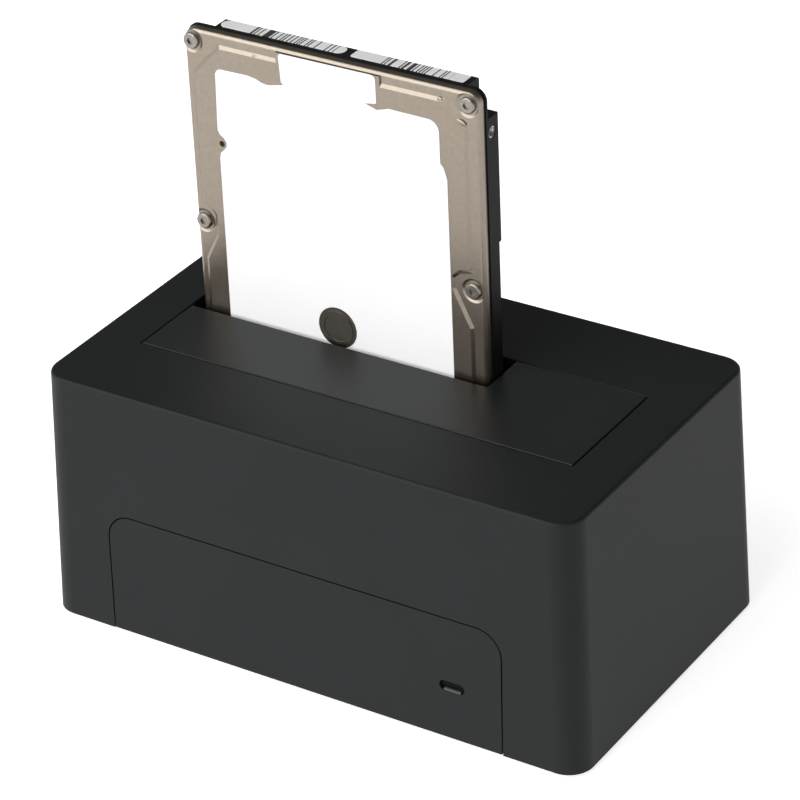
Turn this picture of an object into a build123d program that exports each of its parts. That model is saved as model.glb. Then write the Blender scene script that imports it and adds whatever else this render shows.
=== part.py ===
from build123d import *
import os

# Desktop dock for bare hard drives, with a 2.5 inch drive standing in its slot.
# The origin is the centre of the dock's footprint, on the surface that it stands on.
# +X runs to the right along the front face, the front faces -Y, and +Z is up.

# Casing
case_length = 127.8
case_depth = 75.2
case_height = 56.4
side_draft = 1.7
corner_radius = 5.4
case_wall = 2.2
case_top_wall = 2.0
top_edge_radius = 0.7
foot_stand = 1.0
boss_radius = 3.2
boss_inset = 6.5
boss_rise = 3.6

# General clearances and overruns
overrun = 3.0
fit_clearance = 0.1
least_radius = 0.5
seat_gap = 0.02
fine_edge = 0.25

# Slot in the top, as deep as a 3.5 inch drive needs, with the casing's margins around it
slot_margin_left = 12.5
slot_margin_right = 12.8
slot_margin_rear = 23.45
slot_depth = 30.25

# Flap that closes the slot, with a notch for a 2.5 inch drive
flap_gap = 0.35
flap_thickness = 1.8
flap_notch_gap = 1.25
flap_notch_side_gap = 0.5
flap_notch_corner = 0.3
flap_rib_height = 1.0
flap_rib_width = 1.2
flap_rib_inset = 0.9
flap_rib_start = 4.0
flap_step_reach = 0.9
flap_step_thickness = 0.7
flap_step_inset = 4.0
flap_step_clearance = 0.4

# Hinge along the flap's front edge, hidden under the top
hinge_drop = 3.6
hinge_set_back = 0.4
hinge_pin_radius = 0.8
hinge_pin_clearance = 0.05
hinge_pin_end_gap = 2.75
hinge_knuckle_radius = 1.4
hinge_knuckle_width = 3.6
hinge_bracket_width = 2.4
hinge_side_clearance = 0.3
hinge_web_depth = 2.6
hinge_bracket_shares = (-0.46, -0.15, 0.15, 0.46)
hinge_knuckle_sides = (1, -1, 1, -1)
spring_wire_radius = 0.2
spring_coil_radius = 1.3
spring_turns = 6
spring_pitch = 0.6
spring_leg = 7.0
spring_share = 0.31

# Front panel, set flush in the front wall, with a slot for the status light
panel_margin_left = 16.6
panel_margin_right = 17.6
panel_height = 27.7
panel_corner = 5.6
panel_gap = 0.3
panel_lift = 0.15
panel_lip_reach = 2.2
panel_lip_thickness = 1.3
light_slot_length = 5.8
light_slot_height = 2.3
light_slot_inset = 11.3
light_slot_rise = 12.2
light_pipe_sunk = 0.6
light_pipe_clearance = 0.1
light_pipe_gap = 0.3
light_sleeve_wall = 1.0
light_sleeve_length = 5.0
lamp_size = 2.0
lamp_height = 1.2
lamp_board_inset = 2.6

# Base plate with its feet and posts
base_thickness = 2.0
base_clearance = 0.25
foot_radius = 5.0
foot_recess = 0.8
foot_edge_radius = 0.4
foot_inset_x = 17.0
foot_inset_y = 12.0
cup_radius = 4.2
cup_floor = 1.5
post_radius = 2.9
bare_recess_length = 46.0
bare_recess_depth = 26.0
bare_recess_sunk = 0.3

# Drive well, the guide that a drive slides down
well_wall = 1.6
well_margin = 0.3
well_rear_room = 1.05
well_floor_rise = 19.5
well_floor_thickness = 2.4
well_front_drop = 7.2
well_side_drop = 2.3
well_rib_width = 1.6
well_rib_height = 17.5
well_rib_gap = 0.6
well_rib_shares = (0.1, 0.36, 0.62, 0.95)
well_socket_room = 0.4
ear_reach = 6.8
ear_depth = 9.0
ear_shares = (0.2, 0.82)

# Main board
board_side_margin = 14.4
board_front_gap = 15.4
board_thickness = 1.6
board_rise = 6.0
board_rear_gap = 0.9
board_post_radius = 3.0
board_hole_radius = 1.4
board_hole_inset = 4.0

# Screws
case_screw_radius = 1.4
case_screw_head_radius = 2.7
case_screw_head_height = 1.9
case_screw_length = 9.0
small_screw_radius = 1.15
small_screw_head_radius = 2.2
small_screw_head_height = 1.5
small_screw_length = 5.6
thread_clearance = 0.02
pilot_depth_past_screw = 1.5
head_clearance = 0.2
cross_width = 0.7
cross_depth_share = 0.6
cross_length_share = 1.3

# Socket for the drive, on the main board
socket_length = 42.6
socket_depth = 6.4
socket_shoulder_gap = 0.15
socket_nose_length = 35.6
socket_nose_depth = 3.6
socket_nose_height = 4.6
tongue_thickness = 1.15
tongue_clearance = 0.12
tongue_height = 4.4
signal_tongue_length = 10.6
power_tongue_length = 21.0
tongue_spacing = 1.5
contact_pitch = 1.27
contact_width = 0.7
contact_thickness = 0.2
contact_height = 3.0
contact_gap = 0.05
contact_groove = 0.3
signal_contact_count = 7
power_contact_count = 15

# Small parts on the main board, each placed by its shares of the board's length
# and of the room in front of the ports
bridge_chip_size = 10.0
bridge_chip_height = 1.2
bridge_chip_shares = (0.68, 0.7)
memory_chip_length = 5.2
memory_chip_depth = 4.0
memory_chip_height = 1.5
memory_chip_shares = (0.84, 0.7)
crystal_length = 5.0
crystal_depth = 3.2
crystal_height = 1.1
crystal_shares = (0.82, 0.47)
inductor_size = 7.4
inductor_height = 4.0
inductor_shares = (0.1, 0.97)
capacitor_radius = 3.15
capacitor_height = 5.8
capacitor_crimp_drop = 1.2
capacitor_crimp = 0.3
capacitor_shares = ((0.1, 0.3), (0.22, 0.3), (0.34, 0.3))
chip_capacitor_length = 1.6
chip_capacitor_depth = 0.8
chip_capacitor_height = 0.8
chip_capacitor_shares = ((0.6, 0.89), (0.64, 0.95), (0.72, 0.95), (0.76, 0.89), (0.6, 0.5),
                         (0.64, 0.45), (0.69, 0.45), (0.74, 0.47), (0.46, 0.17), (0.52, 0.17))

# Ports and power button on the back, each placed by its share of their recess
port_recess_margin_left = 24.9
port_recess_margin_right = 30.9
port_recess_height = 19.6
port_recess_bottom = 4.6
port_recess_sunk = 1.0
port_recess_corner = 2.0
port_clearance = 0.2
port_sunk = 0.2
usb_share = 0.79
usb_width = 12.0
usb_height = 12.8
usb_depth = 17.0
usb_shell_wall = 0.4
usb_mouth_width = 8.5
usb_mouth_height = 7.8
usb_mouth_depth = 9.0
usb_mouth_rise = 1.2
usb_upper_width = 5.8
usb_upper_height = 3.0
usb_tongue_width = 5.6
usb_tongue_height = 3.2
usb_tongue_sunk = 0.8
usb_upper_tongue_height = 1.2
usb_contact_width = 0.9
usb_contact_thickness = 0.15
usb_contact_length = 6.0
usb_contact_spacing = 2.0
usb_contact_count = 2
jack_share = 0.49
jack_width = 9.0
jack_height = 11.0
jack_depth = 13.0
jack_nose_radius = 4.1
jack_nose_length = 2.6
jack_bore_radius = 3.15
jack_bore_depth = 10.0
jack_pin_radius = 1.05
jack_pin_sunk = 0.8
jack_pin_length = 10.6
jack_axis_rise = 6.5
button_share = 0.21
button_length = 8.0
button_height = 5.4
button_corner = 1.6
button_edge_radius = 0.4
button_proud = 1.2
button_travel = 1.5
button_guide_clearance = 0.15
button_rise = 6.5
button_flange_margin = 1.1
button_flange_thickness = 1.0
button_stem_radius = 1.3
button_stem_grip = 2.4
switch_size = 8.0
switch_depth = 8.0
switch_height = 10.2
switch_bore_clearance = 0.3
switch_bore_spare = 1.0
button_spring_turns = 5
button_spring_wire_radius = 0.18
button_spring_coil_radius = 2.0
button_spring_length = 3.6

# Docked 2.5 inch drive, in the sizes of that standard
drive_width = 69.85
drive_length = 100.2
drive_thickness = 7.0
drive_side_gap = 1.9
drive_back_gap = 3.75
drive_rise = 20.0
drive_corner = 2.6
cover_thickness = 0.6
cover_side_inset = 0.3
cover_end_inset = 0.2
cover_skirt = 2.0
cover_skirt_wall = 0.5
cover_edge_radius = 0.9
plateau_height = 0.4
plateau_taper_degrees = 62.0
plateau_left = 2.0
plateau_right = 3.0
plateau_top = 2.6
plateau_bottom = 4.0
plateau_left_chamfer = 6.8
plateau_right_chamfer = 5.3
plateau_corner = 0.3
plateau_tab_left = 22.6
plateau_tab_right = 47.2
plateau_tab_top = 0.95
plateau_tab_taper_degrees = 15.0
bay_height = 13.1
bay_drop = 8.5
end_bay_rise = 4.2
left_bay_reach = 3.0
right_bay_reach = 3.9
left_bay_shares = ((0, 1), (0.3, 0.935), (0.68, 0.9), (1, 0.8), (1, 0.46), (0, 0))
right_bay_shares = ((0, 0), (1, 0.62), (1, 0.82), (0.68, 0.91), (0, 0.945))
breather_radius = 0.65
breather_shares = (0.118, 0.2452)
cover_screw_inset_left = 2.15
cover_screw_inset_right = 2.9
cover_screw_shares = (0.0296, 0.4357, 0.93)
cover_screw_radius = 1.75
cover_screw_height = 0.8
cover_screw_shank_radius = 0.8
cover_screw_shank_length = 2.6
dimple_radius = 2.2
dimple_slope = 0.5
dimple_depth = 0.25
head_round_share = 0.45
head_socket_radius = 0.8
head_socket_depth = 0.45
label_thickness = 0.1
label_fine_corner = 0.25
label_outline_shares = (
    (0.1045, 0.9, 1), (0.1085, 0.2771, 3), (0.1119, 0.2662, 2), (0.1249, 0.2571, 2), (0.1338, 0.2498, 2),
    (0.1355, 0.2405, 2), (0.1277, 0.2314, 2), (0.1121, 0.2234, 1), (0.1063, 0.2153, 1), (0.1117, 0.0775, 6),
    (0.225, 0.0765, 2), (0.2524, 0.0794, 2), (0.2694, 0.0845, 2), (0.2864, 0.0869, 2), (0.3002, 0.0863, 2),
    (0.3475, 0.0786, 0.2), (0.3402, 0.0732, 1), (0.3346, 0.0112, 3), (0.661, 0.0105, 4),
    (0.6612, 0.0705, 1.2), (0.6209, 0.0752, 0.2), (0.6621, 0.0841, 2), (0.7009, 0.0756, 2),
    (0.8663, 0.0768, 10), (0.8663, 0.1671, 2), (0.8776, 0.1761, 2), (0.8877, 0.2006, 3), (0.886, 0.9, 1))
seal_radius = 4.5
seal_thickness = 0.25
seal_rim_width = 0.7
seal_rim_height = 0.15
seal_clearance = 0.1
seal_shares = (0.49, 0.602)
notch_width_left = 6.4
notch_width_right = 4.2
notch_height = 6.5
notch_depth = 4.0
side_recess_reach = 0.8
side_recess_depth = 1.05
side_recess_shares = (0.345, 0.76)
case_edge_radius = 0.3
side_hole_radius = 1.25
side_hole_depth = 3.4
mounting_hole_shares = (0.0975, 0.8603)
side_hole_from_rear = 2.6
rear_hole_inset = 4.07
end_label_width = 3.2
end_label_from_rear = 2.1
end_label_shares = ((0.098, 0.52), (0.547, 0.921))
end_label_corners = (1.55, 0.5)
end_label_thickness = 0.1
drive_board_cap_gap = 0.43
drive_board_inset = 7.2
drive_board_end_inset = 8.2
drive_board_thickness = 0.8
drive_board_sunk = 1.3
drive_board_margin = 0.3
drive_board_corner = 2.0
drive_board_screw_inset = 3.2
drive_board_screw_head_radius = 1.6
drive_board_screw_head_height = 0.4
drive_board_screw_shank_radius = 0.75
drive_board_screw_shank_length = 2.6
spindle_cap_radius = 11.5
spindle_cap_thickness = 0.6
spindle_cap_clearance = 0.1
spindle_cap_share = 0.36
connector_offset = 4.6
connector_length = 41.0
connector_thickness = 4.9
connector_height = 7.4
connector_cavity_depth = 5.6
connector_from_rear = 3.1
nose_clearance = 0.25
pad_width = 0.85
pad_thickness = 0.05
pad_height = 3.4

# Heights and faces that follow from the sizes above
case_floor = foot_stand
case_top = case_floor + case_height
base_top = case_floor + base_thickness
boss_bottom = case_floor + boss_rise
board_under = foot_stand + board_rise
board_top = board_under + board_thickness
slot_left = slot_margin_left - case_length / 2
slot_right = case_length / 2 - slot_margin_right
slot_rear = case_depth / 2 - slot_margin_rear
slot_front = slot_rear - slot_depth
slot_length = slot_right - slot_left
slot_x = (slot_left + slot_right) / 2
hinge_y = slot_front - hinge_set_back
hinge_z = case_top - hinge_drop
hinge_pin_length = slot_length - 2 * hinge_pin_end_gap
panel_length = case_length - panel_margin_left - panel_margin_right
panel_x = (panel_margin_left - panel_margin_right) / 2
light_slot_x = panel_x + panel_length / 2 - light_slot_inset
drive_left = slot_left + drive_side_gap
drive_right = drive_left + drive_width
drive_rear = slot_rear - drive_back_gap
drive_front = drive_rear - drive_thickness
drive_bottom = foot_stand + drive_rise
drive_top = drive_bottom + drive_length
drive_x = (drive_left + drive_right) / 2
drive_z = (drive_bottom + drive_top) / 2
cover_y = drive_front + plateau_height
cover_left = drive_left + cover_side_inset
cover_right = drive_right - cover_side_inset
case_front_y = cover_y + cover_thickness
flap_left = slot_left + flap_gap
flap_right = slot_right - flap_gap
flap_front = slot_front + flap_gap
flap_rear = slot_rear - flap_gap
flap_under = case_top - flap_thickness
notch_front = drive_front - flap_notch_gap
notch_right = drive_right + flap_notch_side_gap
well_floor = foot_stand + well_floor_rise
well_under = well_floor - well_floor_thickness
well_left = slot_left - well_margin
well_right = slot_right + well_margin
well_front = slot_front - well_margin
well_rear = slot_rear + well_rear_room
light_z = case_floor + light_slot_rise
connector_y = drive_rear - connector_from_rear
connector_x = drive_left + connector_offset + connector_length / 2
tongues_length = signal_tongue_length + tongue_spacing + power_tongue_length
cavity_top = drive_bottom + connector_cavity_depth
cap_z = drive_top - spindle_cap_share * drive_length
drive_board_low = drive_bottom + drive_board_end_inset
drive_board_length = cap_z - spindle_cap_radius - drive_board_cap_gap - drive_board_low
drive_board_z = drive_board_low + drive_board_length / 2


def wall_y(z, inset=0):
    """How far the front or rear wall's face stands from the middle, at a height."""
    return case_depth / 2 - inset - side_draft * (z - case_floor) / case_height


port_z = case_floor + port_recess_bottom + port_recess_height / 2
port_y = wall_y(port_z) - port_recess_sunk
port_recess_length = case_length - port_recess_margin_left - port_recess_margin_right
port_recess_left = port_recess_margin_left - case_length / 2
port_recess_x = port_recess_left + port_recess_length / 2
usb_x = port_recess_left + usb_share * port_recess_length
jack_x = port_recess_left + jack_share * port_recess_length
button_x = port_recess_left + button_share * port_recess_length
board_rear = wall_y(board_top, case_wall) - board_rear_gap
board_front = board_front_gap - wall_y(board_top, case_wall)
board_left = board_side_margin - case_length / 2
board_length = case_length - 2 * board_side_margin
button_z = board_top + button_rise
button_front_y = port_y + button_proud
flange_rear_y = wall_y(button_z + button_height, case_wall) - fit_clearance
flange_front_y = flange_rear_y - button_flange_thickness
switch_y = flange_front_y - button_spring_length - 2 * seat_gap
jack_z = board_top + jack_axis_rise
port_face_y = port_y - port_sunk
parts_room = port_face_y - usb_depth - board_front
lamp_y = board_front + lamp_board_inset


def span(middle, size):
    """The low and high place of a size about its middle."""
    return middle - size / 2, middle + size / 2


def block(x, y, z):
    """A box between a low and a high place along each axis."""
    size = [high - low for low, high in (x, y, z)]
    middle = [(high + low) / 2 for low, high in (x, y, z)]
    return Pos(*middle) * Box(*size)


def post(x, y, z_low, z_high, radius):
    """A round post between two heights."""
    return Pos(x, y, (z_low + z_high) / 2) * Cylinder(radius, z_high - z_low)


def bar_along_x(x_low, x_high, y, z, radius):
    """A round bar along X."""
    return Pos((x_low + x_high) / 2, y, z) * Rot(0, 90, 0) * Cylinder(radius, x_high - x_low)


def bar_along_y(x, y_low, y_high, z, radius):
    """A round bar along Y."""
    return Pos(x, (y_low + y_high) / 2, z) * Rot(90, 0, 0) * Cylinder(radius, y_high - y_low)


def facing_front(y):
    """A plane that faces the front, with its own X to the right and its own Y up."""
    return Plane((0, y, 0), x_dir=(1, 0, 0), z_dir=(0, -1, 0))


def plate_along_y(x, z, length, height, radius, y_low, y_high):
    """An upright plate with round corners, between two places along Y."""
    outline = facing_front(y_high) * Pos(x, z) * RectangleRounded(length, height, radius)
    return extrude(outline, y_high - y_low)


def drafted_block(inset, z_low, z_high):
    """The casing's outline between two heights, leaning in, and inset by a wall."""
    faces = []
    for z in (z_low, z_high):
        lean = side_draft * (z - case_floor) / case_height + inset
        radius = max(corner_radius - inset, least_radius)
        outline = RectangleRounded(case_length - 2 * lean, case_depth - 2 * lean, radius)
        faces.append((Plane.XY.offset(z) * outline).face())
    return loft(faces)


def panel_prism(grow, z_low, y_low, y_high):
    """The front panel's outline, open below, with two round upper corners."""
    z_high = case_floor + panel_height + grow
    height = z_high - z_low + panel_corner + grow
    shape = plate_along_y(panel_x, z_high - height / 2, panel_length + 2 * grow, height,
                          panel_corner + grow, y_low, y_high)
    return shape - block((-case_length, case_length), (-case_depth, case_depth), (-case_height, z_low))


def boss_places():
    """The four corners where the case screws stand."""
    x = case_length / 2 - boss_inset
    y = case_depth / 2 - boss_inset
    return [(x * i, y * j) for i in (-1, 1) for j in (-1, 1)]


def foot_places():
    """The four feet, by name."""
    x = case_length / 2 - foot_inset_x
    y = case_depth / 2 - foot_inset_y
    return {"foot_front_left": (-x, -y), "foot_front_right": (x, -y),
            "foot_rear_left": (-x, y), "foot_rear_right": (x, y)}


def ear_places():
    """The four places where the drive well is screwed to the base's posts."""
    reach = well_wall + ear_reach / 2
    ys = [well_front + share * (well_rear - well_front) for share in ear_shares]
    return [(x, y) for x in (well_left - reach, well_right + reach) for y in ys]


def board_hole_places():
    """The four screw holes of the main board."""
    xs = (board_left + board_hole_inset, board_left + board_length - board_hole_inset)
    ys = (board_front + board_hole_inset, board_rear - board_hole_inset)
    return [(x, y) for x in xs for y in ys]


def cover_screw_places():
    """X and Z of the six screws that hold the drive's cover."""
    xs = (drive_left + cover_screw_inset_left, drive_right - cover_screw_inset_right)
    return [(x, drive_top - share * drive_length) for x in xs for share in cover_screw_shares]


def board_place(shares):
    """A place on the main board from shares of its length and of the room in front of the ports."""
    return board_left + shares[0] * board_length, board_front + shares[1] * parts_room


def screw(shank_radius, length, head_radius, head_height):
    """A pan head screw with a cross recess. Its seat is at zero, and its head is up."""
    shank = post(0, 0, -length, 0, shank_radius)
    head = post(0, 0, 0, head_height, head_radius)
    head = fillet(head.edges().group_by(Axis.Z)[-1], head_height / 3)
    arm = head_radius * cross_length_share / 2
    depth = head_height * (1 - cross_depth_share)
    cross = block((-arm, arm), (-cross_width / 2, cross_width / 2), (depth, head_height + overrun))
    return shank + head - cross - Rot(0, 0, 90) * cross


def socket_screw(shank_radius, length, head_radius, head_height):
    """A low screw with a round edge and a six sided socket. Its seat is at zero, and its head is up."""
    head = post(0, 0, 0, head_height, head_radius)
    head = fillet(head.edges().group_by(Axis.Z)[-1], head_height * head_round_share)
    depth = min(head_socket_depth, head_height / 2)
    socket = Pos(0, 0, head_height - depth) * extrude(RegularPolygon(head_socket_radius, 6), overrun)
    return post(0, 0, -length, 0, shank_radius) + head - socket


def coil(turns, radius, wire_radius, length):
    """An open coil along its own Z, starting at its own X."""
    rise = length - 2 * wire_radius
    path = Helix(pitch=rise / turns, height=rise, radius=radius)
    section = Plane(path @ 0, z_dir=path % 0) * Circle(wire_radius)
    return Pos(0, 0, wire_radius) * sweep(section, path=path, is_frenet=True)


def hinge_piece(x, width, points, radius):
    """A knuckle or bracket: a round boss on the hinge axis, joined to an outline in Y and Z."""
    plane = Plane((x - width / 2, hinge_y, hinge_z), x_dir=(0, 1, 0), z_dir=(1, 0, 0))
    web = extrude(plane * make_face(Polyline(*points, close=True)), width)
    return web + bar_along_x(x - width / 2, x + width / 2, hinge_y, hinge_z, radius)


def bracket_xs():
    """Middles of the hinge brackets under the top."""
    return [slot_x + share * slot_length for share in hinge_bracket_shares]


def knuckle_xs():
    """Middles of the flap's knuckles, each beside a bracket."""
    step = (hinge_bracket_width + hinge_knuckle_width) / 2 + hinge_side_clearance
    return [x + side * step for x, side in zip(bracket_xs(), hinge_knuckle_sides)]


def pin_bore():
    """The bore for the hinge pin, through brackets and knuckles."""
    reach = hinge_pin_length / 2 + overrun
    return bar_along_x(slot_x - reach, slot_x + reach, hinge_y, hinge_z,
                       hinge_pin_radius + hinge_pin_clearance)


def outer_shell():
    """Top and four walls in one moulding, with the slot, the panel window and the ports' openings."""
    shell = drafted_block(0, case_floor, case_top)
    shell = fillet(shell.edges().group_by(Axis.Z)[-1], top_edge_radius)
    shell -= drafted_block(case_wall, case_floor - overrun, case_top - case_top_wall)
    for x, y in boss_places():
        shell += post(x, y, boss_bottom, case_top - case_top_wall / 2, boss_radius)
        pilot_top = boss_bottom + case_screw_length + pilot_depth_past_screw
        shell -= post(x, y, boss_bottom, pilot_top, case_screw_radius + thread_clearance)
    skin = hinge_drop - case_top_wall / 2
    radius = hinge_knuckle_radius
    bracket = ((-radius, 0), (-radius, skin), (hinge_set_back / 2, skin), (hinge_set_back / 2, 0))
    for x in bracket_xs():
        shell += hinge_piece(x, hinge_bracket_width, bracket, radius)
    shell -= pin_bore()
    shell -= block((slot_left, slot_right), (slot_front, slot_rear),
                   (case_top - case_top_wall - fit_clearance, case_top + overrun))
    rebate_top = flap_under + flap_step_thickness + fit_clearance
    shell -= block((notch_right + flap_step_inset - flap_step_clearance,
                    flap_right - flap_step_inset + flap_step_clearance),
                   (slot_rear - overrun, slot_rear + well_rear_room),
                   (case_top - case_top_wall - overrun, rebate_top))
    front = case_depth / 2
    shell -= panel_prism(panel_gap, case_floor - overrun, -front - overrun,
                         -front + side_draft + case_wall + fit_clearance)
    shell -= plate_along_y(port_recess_x, port_z, port_recess_length, port_recess_height,
                           port_recess_corner, port_y, front + overrun)
    through = (front - case_wall - side_draft - overrun, front + overrun)
    shell -= block(span(usb_x, usb_width + 2 * port_clearance), through,
                   (board_top - port_clearance, board_top + usb_height + port_clearance))
    shell -= bar_along_y(jack_x, *through, jack_z, jack_nose_radius + port_clearance)
    guide = 2 * button_guide_clearance
    shell -= plate_along_y(button_x, button_z, button_length + guide, button_height + guide,
                           button_corner, *through)
    rim = [edge for edge in shell.edges().filter_by(GeomType.LINE)
           if abs(edge.center().Z - case_top) < seat_gap
           and slot_left - seat_gap < edge.center().X < slot_right + seat_gap
           and slot_front - seat_gap < edge.center().Y < slot_rear + seat_gap]
    return fillet(rim, fine_edge)


def front_panel():
    """The flush panel with its lip behind the wall, and the sleeve that holds the light pipe."""
    front = case_depth / 2
    bottom = case_floor + panel_lift
    depth = -front + side_draft + case_wall + overrun
    tall = case_floor + panel_height + panel_lip_reach + overrun
    wall = drafted_block(0, case_floor, tall) - drafted_block(case_wall + fit_clearance, case_floor, tall)
    panel = wall & panel_prism(0, bottom, -front - overrun, depth)
    lip = drafted_block(case_wall + fit_clearance, case_floor, tall)
    lip -= drafted_block(case_wall + fit_clearance + panel_lip_thickness, case_floor, tall)
    lip &= panel_prism(panel_lip_reach, base_top + fit_clearance, -front, depth + panel_lip_thickness)
    panel += lip
    length = light_slot_length + 2 * light_sleeve_wall
    height = light_slot_height + 2 * light_sleeve_wall
    behind = -wall_y(light_z, case_wall)
    panel += plate_along_y(light_slot_x, light_z, length, height, height / 2 - seat_gap, behind,
                           behind + light_sleeve_length)
    return panel - plate_along_y(light_slot_x, light_z, light_slot_length, light_slot_height,
                                 light_slot_height / 2 - seat_gap, -front - overrun,
                                 behind + light_sleeve_length + overrun)


def base_plate():
    """The plate that closes the casing below, with screw cups and posts."""
    inset = case_wall + base_clearance
    base = drafted_block(inset, case_floor, base_top)
    for x, y in boss_places():
        base += post(x, y, case_floor, boss_bottom - fit_clearance, cup_radius)
    base &= drafted_block(inset, case_floor, case_floor + case_height / 2)
    for x, y in boss_places():
        seat = boss_bottom - fit_clearance - cup_floor
        base -= post(x, y, case_floor - overrun, seat, case_screw_head_radius + head_clearance)
        base -= post(x, y, seat, boss_bottom + overrun, case_screw_radius + head_clearance)
    for x, y in ear_places():
        base += post(x, y, base_top, well_under, post_radius)
        base -= post(x, y, well_floor - small_screw_length - pilot_depth_past_screw, well_under + overrun,
                     small_screw_radius + thread_clearance)
    for x, y in board_hole_places():
        base += post(x, y, base_top, board_under, board_post_radius)
        base -= post(x, y, base_top - base_thickness / 4, board_under + overrun,
                     small_screw_radius + thread_clearance)
    for x, y in foot_places().values():
        base -= post(x, y, case_floor - overrun, case_floor + foot_recess, foot_radius + fit_clearance / 2)
    base -= block((-bare_recess_length / 2, bare_recess_length / 2),
                  (-bare_recess_depth / 2, bare_recess_depth / 2),
                  (case_floor - overrun, case_floor + bare_recess_sunk))
    return base


def foot(x, y):
    """A rubber foot, glued into its recess in the base."""
    pad = post(x, y, 0, case_floor + foot_recess, foot_radius)
    return fillet(pad.edges().group_by(Axis.Z)[0], foot_edge_radius)


def case_screws():
    """Four screws from below, through the base's cups into the shell's bosses."""
    seat = boss_bottom - fit_clearance - cup_floor
    one = screw(case_screw_radius, case_screw_length, case_screw_head_radius, case_screw_head_height)
    return [Pos(x, y, seat) * Rot(180, 0, 0) * one for x, y in boss_places()]


def drive_well():
    """The guide for the drive, open above, with a floor that the socket comes up through."""
    side_top = case_top - well_side_drop
    outer = (well_left - well_wall, well_right + well_wall)
    well = block(outer, (well_front - well_wall, well_rear + well_wall), (well_under, side_top))
    well -= block((well_left, well_right), (well_front, well_rear), (well_floor, case_top))
    well -= block((outer[0] - overrun, outer[1] + overrun),
                  (well_front - well_wall - overrun, well_front + overrun),
                  (case_top - well_front_drop, case_top))
    for share in well_rib_shares:
        x = well_left + share * (well_right - well_left)
        well += block(span(x, well_rib_width), (drive_rear + well_rib_gap, well_rear),
                      (well_floor, well_floor + well_rib_height))
    for x, y in ear_places():
        reach = ear_reach / 2
        join_left = well_wall if x > 0 else 0
        join_right = well_wall if x < 0 else 0
        well += block((x - reach - join_left, x + reach + join_right), span(y, ear_depth),
                      (well_under, well_floor))
        well -= post(x, y, well_under - overrun, well_floor + overrun, small_screw_radius + head_clearance)
    half = socket_length / 2 + well_socket_room
    deep = socket_depth / 2 + well_socket_room
    return well - block((connector_x - half, connector_x + half), (connector_y - deep, connector_y + deep),
                        (well_under - overrun, well_floor + overrun))


def well_screws():
    """Four screws through the well's ears into the base's posts."""
    one = screw(small_screw_radius, small_screw_length, small_screw_head_radius, small_screw_head_height)
    return [Pos(x, y, well_floor) * one for x, y in ear_places()]


def main_board():
    """The circuit board that carries the socket, the ports and the switch."""
    board = block((board_left, board_left + board_length), (board_front, board_rear),
                  (board_under, board_top))
    for x, y in board_hole_places():
        board -= post(x, y, board_under - overrun, board_top + overrun, board_hole_radius)
    return board


def board_screws():
    """Four screws through the main board into the base's posts."""
    length = board_top - base_top - base_thickness / 4
    one = screw(small_screw_radius, length, small_screw_head_radius, small_screw_head_height)
    return [Pos(x, y, board_top) * one for x, y in board_hole_places()]


def tongue_spans():
    """Low and high X of the signal tongue and of the power tongue."""
    low = connector_x - tongues_length / 2
    signal = (low, low + signal_tongue_length)
    return signal, (signal[1] + tongue_spacing, low + tongues_length)


def contact_xs():
    """X of each contact along both tongues."""
    places = []
    for (low, high), count in zip(tongue_spans(), (signal_contact_count, power_contact_count)):
        first = (low + high) / 2 - (count - 1) * contact_pitch / 2
        places += [first + i * contact_pitch for i in range(count)]
    return places


def sata_socket():
    """The socket's moulding: a body on the board and a nose that enters the drive's connector."""
    shoulder = drive_bottom - socket_shoulder_gap
    body = block(span(connector_x, socket_length), span(connector_y, socket_depth), (board_top, shoulder))
    body += block(span(connector_x, socket_nose_length), span(connector_y, socket_nose_depth),
                  (shoulder, shoulder + socket_nose_height))
    floor = cavity_top - tongue_height - 2 * fit_clearance
    half = tongue_thickness / 2
    for low, high in tongue_spans():
        body -= block((low - tongue_clearance, high + tongue_clearance),
                      (connector_y - half - contact_groove, connector_y + half + tongue_clearance),
                      (floor, shoulder + socket_nose_height + overrun))
    return body


def sata_contacts():
    """The socket's contacts, one for each track on the drive's two tongues."""
    floor = cavity_top - tongue_height - 2 * fit_clearance
    face = connector_y - tongue_thickness / 2 - pad_thickness - contact_gap
    return [block(span(x, contact_width), (face - contact_thickness, face),
                  (floor, floor + contact_height)) for x in contact_xs()]


def chip(shares, length, depth, height):
    """A chip on the main board, with a chamfered upper edge."""
    x, y = board_place(shares)
    body = block(span(x, length), span(y, depth), (board_top, board_top + height))
    return chamfer(body.edges().group_by(Axis.Z)[-1], height / 5)


def filter_capacitor(shares):
    """A round capacitor can with a crimp below its top."""
    x, y = board_place(shares)
    top = board_top + capacitor_height
    crimp = top - capacitor_crimp_drop
    can = post(x, y, board_top, top, capacitor_radius)
    ring = post(x, y, crimp - capacitor_crimp, crimp, capacitor_radius)
    ring -= post(x, y, board_top, top, capacitor_radius - capacitor_crimp)
    return can - ring


def chip_capacitors():
    """Small ceramic capacitors around the chips."""
    return [chip(shares, chip_capacitor_length, chip_capacitor_depth, chip_capacitor_height)
            for shares in chip_capacitor_shares]


def usb_port_shell():
    """The port's steel shell, a rectangular tube closed behind."""
    rear = port_face_y - usb_depth
    top = board_top + usb_height
    tube = block(span(usb_x, usb_width), (rear, port_face_y), (board_top, top))
    return tube - block(span(usb_x, usb_width - 2 * usb_shell_wall),
                        (rear + usb_shell_wall, port_face_y + overrun),
                        (board_top + usb_shell_wall, top - usb_shell_wall))


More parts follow.
